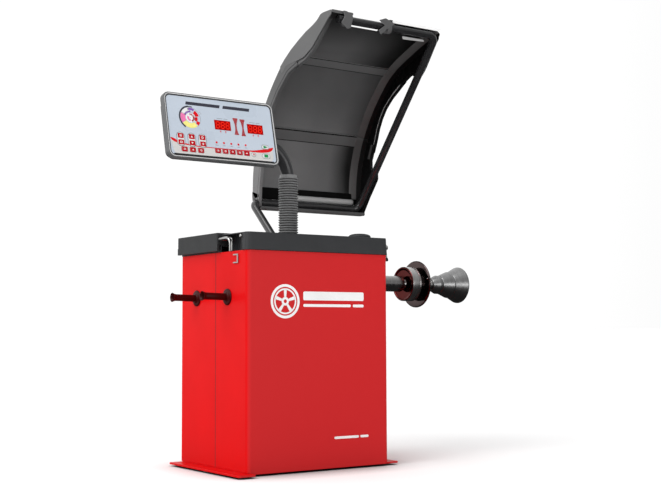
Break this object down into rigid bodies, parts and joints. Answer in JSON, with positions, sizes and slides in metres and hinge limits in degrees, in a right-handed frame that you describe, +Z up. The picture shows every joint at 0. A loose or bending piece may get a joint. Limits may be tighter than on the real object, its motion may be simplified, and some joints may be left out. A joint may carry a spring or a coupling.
{
  "type": "wheel balancer",
  "caption": "Floor-standing wheel balancer: steel cabinet, horizontal shaft with sliding centring cones, swivelling display on a bent pole, and a raised tube-framed hood.",
  "frame": {"origin": "on the floor, 6 mm below the centre of the rectangle of the four anchor holes, straight below the spindle line at the middle of the cabinet's width", "axes": "+X along the shaft towards its free end, +Y towards the rear of the machine, +Z up"},
  "size_m": [1.2355, 0.8165, 1.5837],
  "materials": {
    "red_paint": "gloss",
    "dark_plastic": "satin",
    "hood_plastic": "satin",
    "black_tube": "gloss",
    "black_oxide": "satin",
    "plated_steel": "polished",
    "zinc_steel": "satin",
    "frame_paint": "satin",
    "cast_aluminium": "cast",
    "black_rubber": "matt",
    "grey_bezel": "satin",
    "face_film": "satin",
    "led_red": "gloss",
    "key_red": "satin",
    "key_green": "satin",
    "board_green": "satin"
  },
  "bodies": {
    "cabinet": {"cabinet_front_shell": "red_paint", "cabinet_rear_shell": "red_paint", "foot_plates": "red_paint", "foot_pads": "black_rubber", "inner_frame": "frame_paint", "lid_cover": "dark_plastic", "weight_tray": "dark_plastic", "tool_clamp": "zinc_steel", "side_clip": "zinc_steel", "lid_screws": "zinc_steel", "round_cap": "dark_plastic", "pole_sleeve": "black_rubber", "tool_pegs": "black_tube", "spindle_housing": "black_oxide", "bearings": "zinc_steel", "force_sensors": "zinc_steel", "drive_motor": "cast_aluminium", "drive_belt": "black_rubber", "power_board": "board_green", "mains_inlet": "dark_plastic", "gauge_guide": "dark_plastic", "hood_bracket": "black_tube"},
    "shaft": {"main_shaft": "black_oxide", "flange_hub": "plated_steel", "backing_plate": "plated_steel", "shaft_pulley": "cast_aluminium"},
    "small_cone": {"cone_small": "black_oxide"},
    "medium_cone": {"cone_medium": "black_oxide"},
    "large_cone": {"cone_large": "black_oxide"},
    "motor_rotor": {"motor_pulley": "cast_aluminium"},
    "gauge_bar": {"gauge_rod": "zinc_steel"},
    "gauge_handle": {"gauge_arm": "zinc_steel", "gauge_knob": "dark_plastic"},
    "hood": {"hood_frame": "black_tube", "hood_shell_upper": "hood_plastic", "hood_shell_middle": "hood_plastic", "hood_shell_lower": "hood_plastic", "hood_clamps": "hood_plastic"},
    "display": {"display_pole": "black_tube", "display_bezel": "grey_bezel", "display_housing": "dark_plastic", "display_face": "face_film", "led_display": "led_red", "display_board": "board_green"},
    "mains_rocker": {"power_switch": "led_red"},
    "rocker_key_a_body": {"rocker_key_a": "key_red"},
    "rocker_key_b_body": {"rocker_key_b": "key_red"},
    "rocker_key_c_body": {"rocker_key_c": "key_red"},
    "select_key_a_body": {"select_key_a": "key_red"},
    "select_key_b_body": {"select_key_b": "key_red"},
    "select_key_c_body": {"select_key_c": "key_red"},
    "row_key_a_body": {"row_key_a": "key_red"},
    "row_key_b_body": {"row_key_b": "key_red"},
    "row_key_c_body": {"row_key_c": "key_red"},
    "row_key_d_body": {"row_key_d": "key_red"},
    "row_key_e_body": {"row_key_e": "key_red"},
    "round_key_body": {"round_key": "key_red"},
    "start_key_body": {"start_key": "key_green"},
    "stop_key_body": {"stop_key": "key_green"}
  },
  "joints": [
    {"name": "shaft_spin", "type": "hinge", "parent": "cabinet", "child": "shaft", "pos_m": [0.3, 0, 0.6155], "axis": [1, 0, 0], "continuous": true},
    {"name": "motor_spin", "type": "hinge", "parent": "cabinet", "child": "motor_rotor", "pos_m": [-0.094, 0.06, 0.33], "axis": [1, 0, 0], "continuous": true},
    {"name": "small_cone_slide", "type": "slide", "parent": "shaft", "child": "small_cone", "axis": [1, 0, 0], "range_m": [-0.06, 0]},
    {"name": "medium_cone_slide", "type": "slide", "parent": "small_cone", "child": "medium_cone", "axis": [1, 0, 0], "range_m": [0, 0.06]},
    {"name": "large_cone_slide", "type": "slide", "parent": "medium_cone", "child": "large_cone", "axis": [1, 0, 0], "range_m": [0, 0.06]},
    {"name": "gauge_slide", "type": "slide", "parent": "cabinet", "child": "gauge_bar", "axis": [1, 0, 0], "range_m": [0, 0.22]},
    {"name": "gauge_swing", "type": "hinge", "parent": "gauge_bar", "child": "gauge_handle", "pos_m": [0.315, -0.158, 0.731], "axis": [1, 0, 0], "range_deg": [-120, 120]},
    {"name": "hood_swing", "type": "hinge", "parent": "cabinet", "child": "hood", "pos_m": [0.187, 0.258, 0.7], "axis": [1, 0, 0], "range_deg": [0, 62]},
    {"name": "display_swivel", "type": "hinge", "parent": "cabinet", "child": "display", "pos_m": [0.079, 0.09, 0.8], "axis": [0, 0, 1], "range_deg": [-25, 25]},
    {"name": "mains_rocker_tilt", "type": "hinge", "parent": "cabinet", "child": "mains_rocker", "pos_m": [-0.2, 0.208, 0.153], "axis": [1, 0, 0], "range_deg": [0, 14]},
    {"name": "rocker_key_a_tilt", "type": "hinge", "parent": "display", "child": "rocker_key_a_body", "pos_m": [-0.3925, -0.00402, 1.06361], "axis": [1, 0, 0], "range_deg": [-1.2, 1.2], "stiffness_Nm_per_rad": 0.4},
    {"name": "rocker_key_b_tilt", "type": "hinge", "parent": "display", "child": "rocker_key_b_body", "pos_m": [-0.3525, -0.00402, 1.06361], "axis": [1, 0, 0], "range_deg": [-1.2, 1.2], "stiffness_Nm_per_rad": 0.4},
    {"name": "rocker_key_c_tilt", "type": "hinge", "parent": "display", "child": "rocker_key_c_body", "pos_m": [-0.3135, -0.00402, 1.06361], "axis": [1, 0, 0], "range_deg": [-1.2, 1.2], "stiffness_Nm_per_rad": 0.4},
    {"name": "select_key_a_press", "type": "slide", "parent": "display", "child": "select_key_a_body", "axis": [0, 0.9728, -0.2317], "range_m": [0, 0.0008], "stiffness_N_per_m": 800},
    {"name": "select_key_b_press", "type": "slide", "parent": "display", "child": "select_key_b_body", "axis": [0, 0.9728, -0.2317], "range_m": [0, 0.0008], "stiffness_N_per_m": 800},
    {"name": "select_key_c_press", "type": "slide", "parent": "display", "child": "select_key_c_body", "axis": [0, 0.9728, -0.2317], "range_m": [0, 0.0008], "stiffness_N_per_m": 800},
    {"name": "row_key_a_press", "type": "slide", "parent": "display", "child": "row_key_a_body", "axis": [0, 0.9728, -0.2317], "range_m": [0, 0.0008], "stiffness_N_per_m": 800},
    {"name": "row_key_b_press", "type": "slide", "parent": "display", "child": "row_key_b_body", "axis": [0, 0.9728, -0.2317], "range_m": [0, 0.0008], "stiffness_N_per_m": 800},
    {"name": "row_key_c_press", "type": "slide", "parent": "display", "child": "row_key_c_body", "axis": [0, 0.9728, -0.2317], "range_m": [0, 0.0008], "stiffness_N_per_m": 800},
    {"name": "row_key_d_press", "type": "slide", "parent": "display", "child": "row_key_d_body", "axis": [0, 0.9728, -0.2317], "range_m": [0, 0.0008], "stiffness_N_per_m": 800},
    {"name": "row_key_e_press", "type": "slide", "parent": "display", "child": "row_key_e_body", "axis": [0, 0.9728, -0.2317], "range_m": [0, 0.0008], "stiffness_N_per_m": 800},
    {"name": "round_key_press", "type": "slide", "parent": "display", "child": "round_key_body", "axis": [0, 0.9728, -0.2317], "range_m": [0, 0.0008], "stiffness_N_per_m": 800},
    {"name": "start_key_press", "type": "slide", "parent": "display", "child": "start_key_body", "axis": [0, 0.9728, -0.2317], "range_m": [0, 0.0008], "stiffness_N_per_m": 800},
    {"name": "stop_key_press", "type": "slide", "parent": "display", "child": "stop_key_body", "axis": [0, 0.9728, -0.2317], "range_m": [0, 0.0008], "stiffness_N_per_m": 800}
  ],
  "couplings": [
    {"joint": "motor_spin", "follows": "shaft_spin", "ratio": 2.5}
  ]
}
